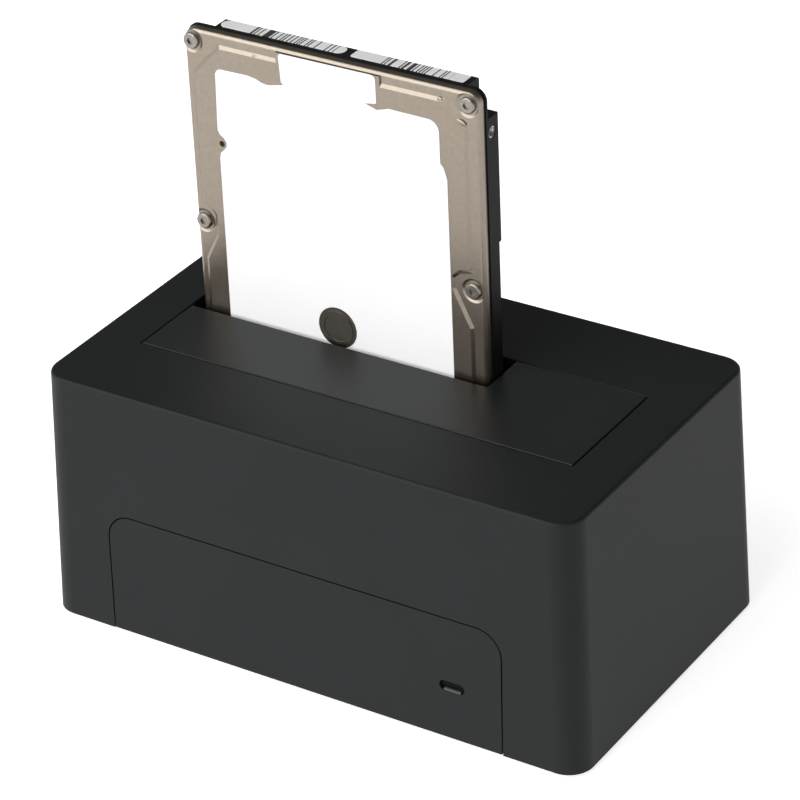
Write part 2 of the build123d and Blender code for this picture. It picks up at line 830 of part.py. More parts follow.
def usb_port_insert():
    """The port's moulding, with a stepped mouth and a tongue in each half."""
    half = usb_width / 2 - usb_shell_wall - seat_gap
    low = board_top + usb_shell_wall + seat_gap
    high = board_top + usb_height - usb_shell_wall - seat_gap
    rear = port_face_y - usb_depth + usb_shell_wall + seat_gap
    body = block((usb_x - half, usb_x + half), (rear, port_face_y), (low, high))
    mouth_low = low + usb_mouth_rise
    mouth_high = mouth_low + usb_mouth_height
    mouth = (port_face_y - usb_mouth_depth, port_face_y + overrun)
    body -= block(span(usb_x, usb_mouth_width), mouth, (mouth_low, mouth_high))
    upper_high = min(mouth_high + usb_upper_height, high - usb_shell_wall)
    body -= block(span(usb_x, usb_upper_width), mouth, (mouth_high, upper_high))
    middle = (mouth_low + mouth_high) / 2
    tongue = (mouth[0], port_face_y - usb_tongue_sunk)
    body += block(span(usb_x, usb_tongue_width), tongue, span(middle, usb_tongue_height))
    upper = (mouth_high + upper_high) / 2
    return body + block(span(usb_x, usb_upper_width), tongue, span(upper, usb_upper_tongue_height))


def usb_contacts():
    """Flat contacts above and below the port's main tongue."""
    low = board_top + usb_shell_wall + seat_gap + usb_mouth_rise
    middle = low + usb_mouth_height / 2
    reach = usb_tongue_height / 2
    along = (port_face_y - usb_tongue_sunk * 2 - usb_contact_length, port_face_y - usb_tongue_sunk * 2)
    pieces = []
    for i in range(usb_contact_count):
        x = usb_x + (i - (usb_contact_count - 1) / 2) * usb_contact_spacing
        across = span(x, usb_contact_width)
        pieces.append(block(across, along, (middle + reach, middle + reach + usb_contact_thickness)))
        pieces.append(block(across, along, (middle - reach - usb_contact_thickness, middle - reach)))
    return pieces


def power_jack():
    """The power inlet's housing, with its round nose and bore."""
    body_y = port_face_y - jack_nose_length
    body = block(span(jack_x, jack_width), (body_y - jack_depth, body_y),
                 (board_top, board_top + jack_height))
    body += bar_along_y(jack_x, body_y - overrun, port_face_y, jack_z, jack_nose_radius)
    bore = port_face_y - jack_bore_depth
    body -= bar_along_y(jack_x, bore, port_face_y + overrun, jack_z, jack_bore_radius)
    rear = port_face_y - jack_pin_sunk - jack_pin_length
    return body - bar_along_y(jack_x, rear, port_face_y, jack_z, jack_pin_radius)


def jack_pin():
    """The power inlet's centre pin, held in the housing behind the bore."""
    front = port_face_y - jack_pin_sunk
    pin = bar_along_y(jack_x, front - jack_pin_length, front, jack_z, jack_pin_radius)
    return fillet(pin.edges().group_by(Axis.Y)[-1], jack_pin_radius / 3)


def power_button():
    """The button's cap, with the flange that keeps it in and the stem that works the switch."""
    cap = plate_along_y(button_x, button_z, button_length, button_height, button_corner, flange_front_y,
                        button_front_y)
    cap = fillet(cap.edges().group_by(Axis.Y)[-1], button_edge_radius)
    margin = 2 * button_flange_margin
    cap += plate_along_y(button_x, button_z, button_length + margin, button_height + margin,
                         button_corner + button_flange_margin, flange_front_y, flange_rear_y)
    return cap + bar_along_y(button_x, switch_y - button_stem_grip, flange_front_y + fit_clearance, button_z,
                             button_stem_radius)


def power_switch():
    """The switch on the main board that the button's stem runs into."""
    half = switch_size / 2
    body = block((button_x - half, button_x + half), (switch_y - switch_depth, switch_y),
                 (board_top, board_top + switch_height))
    depth = button_stem_grip + button_travel + switch_bore_spare
    return body - bar_along_y(button_x, switch_y - depth, switch_y + overrun, button_z,
                              button_stem_radius + switch_bore_clearance)


def button_spring():
    """The coil spring around the button's stem, between the switch and the flange."""
    spring = coil(button_spring_turns, button_spring_coil_radius, button_spring_wire_radius,
                  button_spring_length)
    return Pos(button_x, switch_y + seat_gap, button_z) * Rot(-90, 0, 0) * spring


def status_light():
    """The lamp on the main board, under the light pipe."""
    half = lamp_size / 2
    return block((light_slot_x - half, light_slot_x + half), (lamp_y - half, lamp_y + half),
                 (board_top, board_top + lamp_height))


def light_pipe():
    """The clear bar that brings the lamp's light to the slot in the front panel."""
    length = light_slot_length - 2 * light_pipe_clearance
    height = light_slot_height - 2 * light_pipe_clearance
    half = lamp_size / 2
    front = -wall_y(light_z) + light_pipe_sunk
    pipe = plate_along_y(light_slot_x, light_z, length, height, height / 2 - seat_gap, front, lamp_y + half)
    return pipe + block((light_slot_x - half, light_slot_x + half), (lamp_y - half, lamp_y + half),
                        (board_top + lamp_height + light_pipe_gap, light_z))


def drive_flap():
    """The hinged flap, a plate with a notch behind, ribs below and knuckles along its front edge."""
    plate = block((flap_left, flap_right), (flap_front, flap_rear), (flap_under, case_top))
    notch = block((flap_left - overrun, notch_right), (notch_front, flap_rear + overrun),
                  (flap_under - overrun, case_top + overrun))
    corner = notch.edges().filter_by(Axis.Z).group_by(Axis.X)[-1].group_by(Axis.Y)[0]
    plate -= fillet(corner, flap_notch_corner)
    plate = fillet(plate.edges().group_by(Axis.Z)[-1], fine_edge)
    rib_z = (flap_under - flap_rib_height, flap_under + seat_gap)
    rib_low = hinge_y + flap_rib_start
    right = flap_right - flap_rib_inset
    plate += block((flap_left + flap_rib_inset, flap_left + flap_rib_inset + flap_rib_width),
                   (rib_low, notch_front - flap_rib_inset), rib_z)
    plate += block((right - flap_rib_width, right), (rib_low, flap_rear - flap_rib_inset), rib_z)
    plate += block((flap_left + flap_rib_inset, right),
                   (notch_front - flap_rib_inset - flap_rib_width, notch_front - flap_rib_inset), rib_z)
    plate += block((notch_right + flap_rib_inset, right),
                   (flap_rear - flap_rib_inset - flap_rib_width, flap_rear - flap_rib_inset), rib_z)
    plate += block((notch_right + flap_step_inset, flap_right - flap_step_inset),
                   (flap_rear - flap_rib_width, flap_rear + flap_step_reach),
                   (flap_under, flap_under + flap_step_thickness))
    front = flap_front - hinge_y
    under = hinge_drop - flap_thickness
    radius = hinge_knuckle_radius
    knuckle = ((0, -radius), (hinge_web_depth, -radius), (hinge_web_depth, under + seat_gap),
               (front, under + seat_gap), (front, radius), (0, radius))
    for x in knuckle_xs():
        plate += hinge_piece(x, hinge_knuckle_width, knuckle, radius)
    return plate - pin_bore()


def flap_hinge_pin():
    """The steel pin through the brackets and knuckles."""
    half = hinge_pin_length / 2
    pin = bar_along_x(slot_x - half, slot_x + half, hinge_y, hinge_z, hinge_pin_radius)
    return chamfer(pin.edges().filter_by(GeomType.CIRCLE), hinge_pin_radius / 4)


def flap_spring(x):
    """A torsion spring on the hinge pin, with one leg under the flap and one under the top."""
    length = spring_turns * spring_pitch + 2 * spring_wire_radius
    path = Helix(pitch=spring_pitch, height=spring_turns * spring_pitch, radius=spring_coil_radius)
    first = Plane(path @ 0, z_dir=path % 0) * Circle(spring_wire_radius)
    last = Plane(path @ 1, z_dir=path % 1) * Circle(spring_wire_radius)
    spring = sweep(first, path=path, is_frenet=True) + extrude(first, -spring_leg) + extrude(last, spring_leg)
    axis = Plane((x - length / 2, hinge_y, hinge_z), x_dir=(0, 0, 1), z_dir=(1, 0, 0))
    return axis.location * spring


def drive_case():
    """The drive's cast body, with its corner notches, side recesses, holes and board recess."""
    body = plate_along_y(drive_x, drive_z, drive_width, drive_length, drive_corner, case_front_y, drive_rear)
    body = chamfer(body.edges().group_by(Axis.Y)[-1], case_edge_radius)
    skirt_y = cover_y + cover_skirt + seat_gap
    rebate = block((drive_left - overrun, drive_right + overrun), (case_front_y - overrun, skirt_y),
                   (drive_bottom - overrun, drive_top + overrun))
    body -= rebate - inside_cover(seat_gap, case_front_y - 2 * overrun, skirt_y + overrun)
    notch_y = (drive_rear - notch_depth, drive_rear + overrun)
    for low, high in ((drive_left - overrun, drive_left + notch_width_left),
                      (drive_right - notch_width_right, drive_right + overrun)):
        body -= block((low, high), notch_y, (drive_top - notch_height, drive_top + overrun))
    recess_y = (drive_rear - side_recess_depth, drive_rear + overrun)
    recess_z = [drive_top - share * drive_length for share in reversed(side_recess_shares)]
    for low, high in ((drive_left - overrun, drive_left + side_recess_reach),
                      (drive_right - side_recess_reach, drive_right + overrun)):
        body -= block((low, high), recess_y, recess_z)
    for share in mounting_hole_shares:
        z = drive_top - share * drive_length
        y = drive_rear - side_hole_from_rear
        body -= bar_along_x(drive_left - overrun, drive_left + side_hole_depth, y, z, side_hole_radius)
        body -= bar_along_x(drive_right - side_hole_depth, drive_right + overrun, y, z, side_hole_radius)
        for x in (drive_left + rear_hole_inset, drive_right - rear_hole_inset):
            body -= bar_along_y(x, drive_rear - side_hole_depth, drive_rear + overrun, z, side_hole_radius)
    body -= board_recess()
    for x, z in drive_board_screw_places():
        body -= bar_along_y(x, drive_board_y() - drive_board_screw_shank_length, drive_rear, z,
                            drive_board_screw_shank_radius + thread_clearance)
    pilot_end = cover_y + dimple_depth + cover_screw_shank_length + seat_gap
    for x, z in cover_screw_places():
        body -= bar_along_y(x, case_front_y - overrun, pilot_end, z,
                            cover_screw_shank_radius + thread_clearance)
    body -= bar_along_y(drive_x, drive_rear - spindle_cap_thickness - seat_gap, drive_rear + overrun, cap_z,
                        spindle_cap_radius + spindle_cap_clearance)
    half = connector_length / 2 + fit_clearance
    deep = connector_thickness / 2 + fit_clearance
    return body - block((connector_x - half, connector_x + half), (connector_y - deep, drive_rear + overrun),
                        (drive_bottom - overrun, drive_bottom + connector_height + fit_clearance))


def drive_board_y():
    """The drive board's outer face."""
    return drive_rear - drive_board_sunk + drive_board_thickness


def inside_cover(gap, y_low, y_high):
    """The room inside the cover's skirt, open at the plug's end, less a gap all round."""
    width = cover_right - cover_left - 2 * (cover_skirt_wall + gap)
    low = drive_bottom - overrun - drive_corner
    high = drive_top - cover_end_inset - cover_skirt_wall - gap
    return plate_along_y(drive_x, (low + high) / 2, width, high - low, drive_corner - cover_skirt_wall - gap,
                         y_low, y_high)


def board_recess():
    """The recess for the drive's board."""
    width = drive_width - 2 * drive_board_inset + 2 * drive_board_margin
    return plate_along_y(drive_x, drive_board_z, width, drive_board_length + 2 * drive_board_margin,
                         drive_board_corner, drive_rear - drive_board_sunk, drive_rear + overrun)


def drive_board_screw_places():
    """X and Z of the drive board's four screws."""
    x = drive_width / 2 - drive_board_inset - drive_board_screw_inset
    z = drive_board_length / 2 - drive_board_screw_inset
    return [(drive_x + i * x, drive_board_z + j * z) for i in (-1, 1) for j in (-1, 1)]


def drive_board():
    """The drive's own circuit board, on its back."""
    width = drive_width - 2 * drive_board_inset
    board = plate_along_y(drive_x, drive_board_z, width, drive_board_length, drive_board_corner,
                          drive_rear - drive_board_sunk, drive_board_y())
    for x, z in drive_board_screw_places():
        board -= bar_along_y(x, drive_front, drive_rear, z, drive_board_screw_shank_radius + head_clearance)
    return board


def drive_board_screws():
    """Four low screws that hold the drive's board."""
    one = socket_screw(drive_board_screw_shank_radius, drive_board_screw_shank_length,
                       drive_board_screw_head_radius, drive_board_screw_head_height)
    return [Pos(x, drive_board_y(), z) * Rot(-90, 0, 0) * one for x, z in drive_board_screw_places()]


def spindle_cap():
    """The round cap over the drive's motor, flush with the back."""
    return bar_along_y(drive_x, drive_rear - spindle_cap_thickness, drive_rear, cap_z, spindle_cap_radius)


def plateau_outline():
    """The raised field of the drive's cover, with cut corners and a bay beside each middle screw."""
    left = drive_left + plateau_left
    right = drive_right - plateau_right
    low = drive_bottom + plateau_bottom
    high = drive_top - plateau_top
    near = plateau_right_chamfer
    far = plateau_left_chamfer
    middle, end = [drive_top - share * drive_length for share in cover_screw_shares[1:]]
    bay_low = middle - bay_drop
    left_bay = [(left + u * left_bay_reach, bay_low + v * bay_height) for u, v in left_bay_shares]
    right_bay = [(right - u * right_bay_reach, bay_low + v * bay_height) for u, v in right_bay_shares]
    points = [(left + near, low), (right - near, low), (right, end + end_bay_rise), *right_bay,
              (right, high - near), (right - near, high), (left + far, high), (left, high - far), *left_bay,
              (left, end + end_bay_rise)]
    face = make_face(Polyline(*points, close=True))
    return fillet(face.vertices(), plateau_corner)


def plateau_tab():
    """The tab of the raised field that reaches towards the drive's far end."""
    middle = drive_left + (plateau_tab_left + plateau_tab_right) / 2
    low = drive_top - plateau_top - plateau_left_chamfer
    high = drive_top - plateau_tab_top
    return Pos(middle, (low + high) / 2) * Rectangle(plateau_tab_right - plateau_tab_left, high - low)


def drive_cover():
    """The stamped steel cover, with its raised field, a dimple at each screw and a skirt on three sides."""
    cover = plate_along_y(drive_x, drive_z, cover_right - cover_left, drive_length - 2 * cover_end_inset,
                          drive_corner, cover_y, cover_y + cover_skirt)
    cover = fillet(cover.edges().group_by(Axis.Y)[0], cover_edge_radius)
    cover -= inside_cover(0, case_front_y, drive_rear)
    for shape, taper in ((plateau_outline(), plateau_taper_degrees),
                         (plateau_tab(), plateau_tab_taper_degrees)):
        field = facing_front(cover_y) * shape
        cover += extrude(field, plateau_height, taper=taper)
        cover += extrude(field, -cover_thickness / 2)
    dimple = Cone(dimple_radius, dimple_radius + dimple_slope, dimple_depth)
    for x, z in cover_screw_places():
        cover -= Pos(x, cover_y + dimple_depth / 2, z) * Rot(90, 0, 0) * dimple
        cover -= bar_along_y(x, drive_front - overrun, drive_rear, z,
                             cover_screw_shank_radius + head_clearance)
    x = drive_left + breather_shares[0] * drive_width
    z = drive_top - breather_shares[1] * drive_length
    return cover - bar_along_y(x, drive_front - overrun, case_front_y - seat_gap, z, breather_radius)


def cover_screws():
    """Six low screws around the drive's cover."""
    one = socket_screw(cover_screw_shank_radius, cover_screw_shank_length, cover_screw_radius,
                       cover_screw_height)
    return [Pos(x, cover_y + dimple_depth, z) * Rot(90, 0, 0) * one for x, z in cover_screw_places()]


def cover_label():
    """The plain paper label on the cover, cut out round the seal."""
    points = [(drive_left + u * drive_width, drive_top - v * drive_length)
              for u, v, _ in label_outline_shares]
    radii = [corner * label_fine_corner for _, _, corner in label_outline_shares]
    face = make_face(FilletPolyline(*points, radius=radii, close=True))
    face -= Pos(*seal_place()) * Circle(seal_radius + seal_clearance)
    return extrude(facing_front(drive_front) * face, label_thickness)


def seal_place():
    """X and Z of the round seal."""
    return drive_left + seal_shares[0] * drive_width, drive_top - seal_shares[1] * drive_length


def seal_disc():
    """The round metal seal, with a raised rim."""
    x, z = seal_place()
    front = drive_front - seal_thickness
    disc = bar_along_y(x, front, drive_front, z, seal_radius)
    rim = bar_along_y(x, front - seal_rim_height, front, z, seal_radius - seal_rim_width)
    rim -= bar_along_y(x, front - overrun, front, z, seal_radius - 2 * seal_rim_width)
    return disc + rim


def end_label(shares, corner):
    """A narrow sticker on the drive's far end."""
    low, high = [drive_left + share * drive_width for share in shares]
    y = drive_rear - end_label_from_rear
    outline = Pos((low + high) / 2, y, drive_top) * RectangleRounded(high - low, end_label_width, corner)
    return extrude(outline, end_label_thickness)


def drive_connector():
    """The drive's plug, a housing with a cavity and two tongues."""
    half = connector_length / 2
    deep = connector_thickness / 2
    body = block((connector_x - half, connector_x + half), (connector_y - deep, connector_y + deep),
                 (drive_bottom, drive_bottom + connector_height))
    half = socket_nose_length / 2 + nose_clearance
    deep = socket_nose_depth / 2 + nose_clearance
    body -= block((connector_x - half, connector_x + half), (connector_y - deep, connector_y + deep),
                  (drive_bottom - overrun, cavity_top))
    for low, high in tongue_spans():
        body += block((low, high), span(connector_y, tongue_thickness),
                      (cavity_top - tongue_height, cavity_top + fit_clearance))
    return body


def drive_contacts():
    """The tracks on the drive's two tongues."""
    face = connector_y - tongue_thickness / 2
    low = cavity_top - tongue_height + fit_clearance
    return [block(span(x, pad_width), (face - pad_thickness, face), (low, low + pad_height))
            for x in contact_xs()]


def all_pieces():
    """Each sub-part by its node's name. A list is a group of separate solids."""
    pieces = {
        "outer_shell": outer_shell(),
        "front_panel": front_panel(),
        "base_plate": base_plate(),
        "case_screws": case_screws(),
        "drive_well": drive_well(),
        "well_screws": well_screws(),
        "main_board": main_board(),
        "board_screws": board_screws(),
        "sata_socket": sata_socket(),
        "sata_contacts": sata_contacts(),
        "bridge_chip": chip(bridge_chip_shares, bridge_chip_size, bridge_chip_size, bridge_chip_height),
        "memory_chip": chip(memory_chip_shares, memory_chip_length, memory_chip_depth, memory_chip_height),
        "clock_crystal": chip(crystal_shares, crystal_length, crystal_depth, crystal_height),
        "power_inductor": chip(inductor_shares, inductor_size, inductor_size, inductor_height),
        "chip_capacitors": chip_capacitors(),
        "usb_port_shell": usb_port_shell(),
        "usb_port_insert": usb_port_insert(),
        "usb_contacts": usb_contacts(),
        "power_jack": power_jack(),
        "jack_pin": jack_pin(),
        "power_switch": power_switch(),
        "power_button": power_button(),
        "button_spring": button_spring(),
        "status_light": status_light(),
        "light_pipe": light_pipe(),
        "drive_flap": drive_flap(),
        "flap_hinge_pin": flap_hinge_pin(),
        "flap_spring_left": flap_spring(slot_x - spring_share * slot_length),
        "flap_spring_right": flap_spring(slot_x + spring_share * slot_length),
        "drive_case": drive_case(),
        "drive_cover": drive_cover(),
        "cover_screws": cover_screws(),
        "cover_label": cover_label(),
        "seal_disc": seal_disc(),
        "end_label_left": end_label(end_label_shares[0], end_label_corners[0]),
        "end_label_right": end_label(end_label_shares[1], end_label_corners[1]),
        "drive_board": drive_board(),
        "drive_board_screws": drive_board_screws(),
        "spindle_cap": spindle_cap(),
        "drive_connector": drive_connector(),
        "drive_contacts": drive_contacts(),
    }
    for name, (x, y) in foot_places().items():
        pieces[name] = foot(x, y)
    for i, shares in enumerate(capacitor_shares):
        pieces[f"filter_capacitor_{i + 1}"] = filter_capacitor(shares)
    return pieces


def write_pieces():
    """Write one STEP file for each sub-part."""
    os.makedirs("parts", exist_ok=True)
    for name, piece in all_pieces().items():
        shapes = piece if isinstance(piece, list) else [piece]
        solids = [solid for shape in shapes for solid in shape.solids()]
        export_step(solids[0] if len(solids) == 1 else Compound(solids), f"parts/{name}.step")


write_pieces()
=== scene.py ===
import math
import bmesh
import bpy
from mathutils import Matrix, Vector


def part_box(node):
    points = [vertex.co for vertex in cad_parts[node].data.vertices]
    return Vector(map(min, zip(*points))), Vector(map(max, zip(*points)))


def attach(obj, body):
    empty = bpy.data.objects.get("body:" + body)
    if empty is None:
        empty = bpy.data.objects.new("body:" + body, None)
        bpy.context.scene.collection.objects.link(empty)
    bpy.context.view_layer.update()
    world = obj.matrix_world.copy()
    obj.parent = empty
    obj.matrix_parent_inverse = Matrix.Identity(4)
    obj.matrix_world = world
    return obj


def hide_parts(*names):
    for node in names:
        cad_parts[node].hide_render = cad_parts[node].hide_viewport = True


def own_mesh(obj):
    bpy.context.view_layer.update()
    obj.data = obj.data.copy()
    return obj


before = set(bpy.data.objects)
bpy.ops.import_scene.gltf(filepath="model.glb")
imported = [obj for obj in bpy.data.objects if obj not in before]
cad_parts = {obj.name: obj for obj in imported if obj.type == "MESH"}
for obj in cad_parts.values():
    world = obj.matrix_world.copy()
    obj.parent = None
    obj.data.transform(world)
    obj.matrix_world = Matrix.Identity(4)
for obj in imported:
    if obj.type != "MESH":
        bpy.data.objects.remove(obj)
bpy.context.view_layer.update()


# Casing: the outer shell, one injection moulding in black satin plastic. The tool's fine
# spark-eroded grain gives the soft sheen, and the large noise is the slight unevenness of
# a moulded wall.
def plain_finish(name):
    """A new material to work on: itself, its node tree and the piece's own coordinates."""
    material = bpy.data.materials.new(name)
    material.use_nodes = True
    tree = material.node_tree
    return material, tree, tree.nodes.new("ShaderNodeTexCoord").outputs["Object"]


def noise(tree, place, spacing, detail):
    """A noise pattern whose spots lie about one spacing apart."""
    pattern = tree.nodes.new("ShaderNodeTexNoise")
    pattern.inputs["Scale"].default_value = 1 / spacing
    pattern.inputs["Detail"].default_value = detail
    tree.links.new(place, pattern.inputs["Vector"])
    return pattern.outputs["Fac"]


def tint(tree, pattern, dark, light, spread):
    """Colour the surface by a pattern, from dark to light over the spread of its values."""
    tones = tree.nodes.new("ShaderNodeValToRGB")
    for stop, tone, position in zip(tones.color_ramp.elements, (dark, light), spread):
        stop.color = (*tone, 1)
        stop.position = position
    tree.links.new(pattern, tones.inputs["Fac"])
    tree.links.new(tones.outputs["Color"], tree.nodes["Principled BSDF"].inputs["Base Color"])


def roughen(tree, pattern, roughness, depth, strength):
    """Vary the sheen by a pattern, and raise its small bumps."""
    shader = tree.nodes["Principled BSDF"]
    sheen = tree.nodes.new("ShaderNodeMapRange")
    sheen.inputs["To Min"].default_value = roughness[0]
    sheen.inputs["To Max"].default_value = roughness[1]
    tree.links.new(pattern, sheen.inputs["Value"])
    tree.links.new(sheen.outputs["Result"], shader.inputs["Roughness"])
    bump = tree.nodes.new("ShaderNodeBump")
    bump.inputs["Distance"].default_value = depth
    bump.inputs["Strength"].default_value = strength
    tree.links.new(pattern, bump.inputs["Height"])
    tree.links.new(bump.outputs["Normal"], shader.inputs["Normal"])


def moulded(name, dark, light, grain, grain_depth, roughness, specular, cloud=0.02):
    """A moulded finish: large soft clouds of colour, and a fine grain in sheen and height."""
    material, tree, place = plain_finish(name)
    tree.nodes["Principled BSDF"].inputs["Specular IOR Level"].default_value = specular
    tint(tree, noise(tree, place, cloud, detail=4), dark, light, spread=(0.3, 0.7))
    roughen(tree, noise(tree, place, grain, detail=2), roughness, grain_depth, strength=0.6)
    return material


def dress(material, *names):
    """Give CAD nodes a finish."""
    for name in names:
        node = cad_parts[name]
        if not node.material_slots:
            node.data.materials.append(material)
        for place in node.material_slots:
            place.material = material


casing_plastic = moulded("casing_plastic", dark=(0.0078, 0.0092, 0.0097), light=(0.0092, 0.0107, 0.0112),
                         grain=0.00035, grain_depth=0.00002, roughness=(0.48, 0.62), specular=0.2)
dress(casing_plastic, "outer_shell")


# Front panel: a separate flush moulding of the same black plastic, clipped in behind the
# front wall with a hairline gap. Its face is plain.
dress(casing_plastic, "front_panel")


# Base plate and drive well: inner mouldings in a duller black plastic with a coarser grain,
# screwed together from below.
inner_plastic = moulded("inner_plastic", dark=(0.011, 0.012, 0.012), light=(0.015, 0.016, 0.016),
                        grain=0.0006, grain_depth=0.00004, roughness=(0.5, 0.65), specular=0.3)
dress(inner_plastic, "base_plate", "drive_well")


# Feet: four discs of black rubber, glued into recesses under the base. The rubber is the
# dullest and coarsest surface of the dock.
foot_rubber = moulded("foot_rubber", dark=(0.012, 0.012, 0.012), light=(0.02, 0.02, 0.02),
                      grain=0.0008, grain_depth=0.00005, roughness=(0.7, 0.85), specular=0.2,
                      cloud=0.004)
dress(foot_rubber, "foot_front_left", "foot_front_right", "foot_rear_left", "foot_rear_right")


# Blank rating plate: a thin silver film stuck under the base between the feet, with rounded
# corners and a plain face.
def rounded_plate(width, depth, rise, corner, corner_steps):
    """A flat plate with rounded corners, centred on the origin and grown up or down from it."""
    plate = bmesh.new()
    bmesh.ops.create_grid(plate, x_segments=1, y_segments=1, size=0.5)
    bmesh.ops.scale(plate, vec=(width, depth, 1), verts=plate.verts[:])
    bmesh.ops.bevel(plate, geom=plate.verts[:], affect="VERTICES", offset=corner,
                    segments=corner_steps, profile=0.5, material=-1)
    grown = bmesh.ops.extrude_face_region(plate, geom=plate.faces[:])
    moved = [part for part in grown["geom"] if isinstance(part, bmesh.types.BMVert)]
    bmesh.ops.translate(plate, vec=(0, 0, rise), verts=moved)
    bmesh.ops.recalc_face_normals(plate, faces=plate.faces[:])
    return plate


def hang(name, form, body, material):
    """Make a bmesh a finished piece that rides on a body."""
    mesh = bpy.data.meshes.new(name)
    form.to_mesh(mesh)
    form.free()
    mesh.materials.append(material)
    piece = bpy.data.objects.new(name, mesh)
    bpy.context.scene.collection.objects.link(piece)
    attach(piece, body)
    return piece


plate_film = moulded("plate_film", dark=(0.52, 0.53, 0.53), light=(0.58, 0.59, 0.59),
                     grain=0.0004, grain_depth=0.000004, roughness=(0.35, 0.48), specular=0.4)
plate_width = 0.052
plate_depth = 0.026
plate_thickness = 0.00008
plate_corner = 0.002
base_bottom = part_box("base_plate")[0].z
rating_plate = rounded_plate(plate_width, plate_depth, -plate_thickness, plate_corner, corner_steps=6)
bmesh.ops.translate(rating_plate, vec=(0, 0, base_bottom), verts=rating_plate.verts[:])
hang("blank_rating_plate", rating_plate, "dock", plate_film)


# Flap: the sprung lid that fills the slot around the drive, moulded in the casing's plastic
# with a slightly finer grain.
flap_plastic = moulded("flap_plastic", dark=(0.0085, 0.0098, 0.0103), light=(0.01, 0.0113, 0.0118),
                       grain=0.0003, grain_depth=0.00002, roughness=(0.34, 0.46), specular=0.26)
dress(flap_plastic, "drive_flap")


# Screws, springs and hinge pin: plated or bare steel, turned and drawn, with a faint
# unevenness in tone, sheen and height.
def metal(name, dark, light, roughness, mottle, finer=(1, 1, 1), dent_depth=0.000002):
    """A worked metal: one mottled pattern, which finer packs closer along an axis."""
    material, tree, place = plain_finish(name)
    tree.nodes["Principled BSDF"].inputs["Metallic"].default_value = 1
    packed = tree.nodes.new("ShaderNodeMapping")
    packed.inputs["Scale"].default_value = finer
    tree.links.new(place, packed.inputs["Vector"])
    pattern = noise(tree, packed.outputs["Vector"], mottle, detail=5)
    tint(tree, pattern, dark, light, spread=(0.25, 0.75))
    roughen(tree, pattern, roughness, dent_depth, strength=0.5)
    return material


plated_steel = metal("plated_steel", dark=(0.42, 0.42, 0.41), light=(0.58, 0.58, 0.57),
                     roughness=(0.22, 0.34), mottle=0.001)
dress(plated_steel, "case_screws", "well_screws", "board_screws", "drive_board_screws")
spring_wire = metal("spring_wire", dark=(0.45, 0.45, 0.44), light=(0.62, 0.61, 0.6),
                    roughness=(0.18, 0.3), mottle=0.0006)
dress(spring_wire, "flap_hinge_pin", "flap_spring_left", "flap_spring_right", "button_spring")


# Button spring: the same coil as the rigid one, drawn steel wire between the switch and the
# button's flange.
merge_distance = 0.000001
coil = bmesh.new()
coil.from_mesh(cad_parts["button_spring"].data)
bmesh.ops.remove_doubles(coil, verts=coil.verts[:], dist=merge_distance)
squeezed_spring = hang("squeezed_button_spring", coil, "dock", spring_wire)
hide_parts("button_spring")
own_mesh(squeezed_spring)


# Circuit boards: green solder mask over glass fibre, in the dock and on the back of the
# drive. The tracks show through as slightly lighter lines.
mask_dark = (0.008, 0.05, 0.022)
mask_light = (0.01, 0.065, 0.028)
mask_grain = 0.0004
mask_grain_depth = 0.00001
mask_roughness = (0.22, 0.34)
track_width_share = 0.03
track_gain = (1.6, 1.5, 1.4)
track_tone = [gain * tone for gain, tone in zip(track_gain, mask_light)]


def solder_mask(name, track_pitch, turn=0):
    """A solder mask with straight tracks under it, turned about X to lie in the board's plane."""
    material, tree, place = plain_finish(name)
    shader = tree.nodes["Principled BSDF"]
    roughen(tree, noise(tree, place, mask_grain, detail=2), mask_roughness, mask_grain_depth, strength=0.6)
    lay = tree.nodes.new("ShaderNodeMapping")
    lay.inputs["Rotation"].default_value = (turn, 0, 0)
    tree.links.new(place, lay.inputs["Vector"])
    tracks = tree.nodes.new("ShaderNodeTexBrick")
    tracks.inputs["Scale"].default_value = 1 / track_pitch
    tracks.inputs["Mortar Size"].default_value = track_width_share
    tracks.inputs["Color1"].default_value = (*mask_dark, 1)
    tracks.inputs["Color2"].default_value = (*mask_light, 1)
    tracks.inputs["Mortar"].default_value = (*track_tone, 1)
    tree.links.new(lay.outputs["Vector"], tracks.inputs["Vector"])
    tree.links.new(tracks.outputs["Color"], shader.inputs["Base Color"])
    return material


dress(solder_mask("green_mask", track_pitch=0.004), "main_board")
dress(solder_mask("upright_green_mask", track_pitch=0.006, turn=-math.pi / 2), "drive_board")


# Sockets, switch and chips: small black mouldings with a fine, slightly dusty grain, and
# with them the other parts soldered to the boards: fired ceramic capacitors, drawn metal
# cans and gold plated contacts.
socket_plastic = moulded("socket_plastic", dark=(0.013, 0.013, 0.014), light=(0.02, 0.02, 0.021),
                         grain=0.0003, grain_depth=0.00001, roughness=(0.35, 0.5), specular=0.4,
                         cloud=0.003)
dress(socket_plastic, "sata_socket", "drive_connector", "power_switch")
chip_resin = moulded("chip_resin", dark=(0.016, 0.016, 0.018), light=(0.028, 0.028, 0.03),
                     grain=0.0002, grain_depth=0.00002, roughness=(0.55, 0.7), specular=0.35,
                     cloud=0.002)
dress(chip_resin, "bridge_chip", "memory_chip", "power_inductor")
ceramic = moulded("ceramic", dark=(0.28, 0.19, 0.11), light=(0.4, 0.28, 0.17),
                  grain=0.0002, grain_depth=0.00001, roughness=(0.3, 0.42), specular=0.5, cloud=0.001)
dress(ceramic, "chip_capacitors")
can_metal = metal("can_metal", dark=(0.55, 0.55, 0.56), light=(0.7, 0.7, 0.71),
                  roughness=(0.25, 0.38), mottle=0.002, finer=(1, 1, 6))
dress(can_metal, "filter_capacitor_1", "filter_capacitor_2", "filter_capacitor_3", "clock_crystal")
gold_plate = metal("gold_plate", dark=(0.75, 0.5, 0.18), light=(0.9, 0.64, 0.28),
                   roughness=(0.16, 0.28), mottle=0.0006, finer=(1, 1, 3))
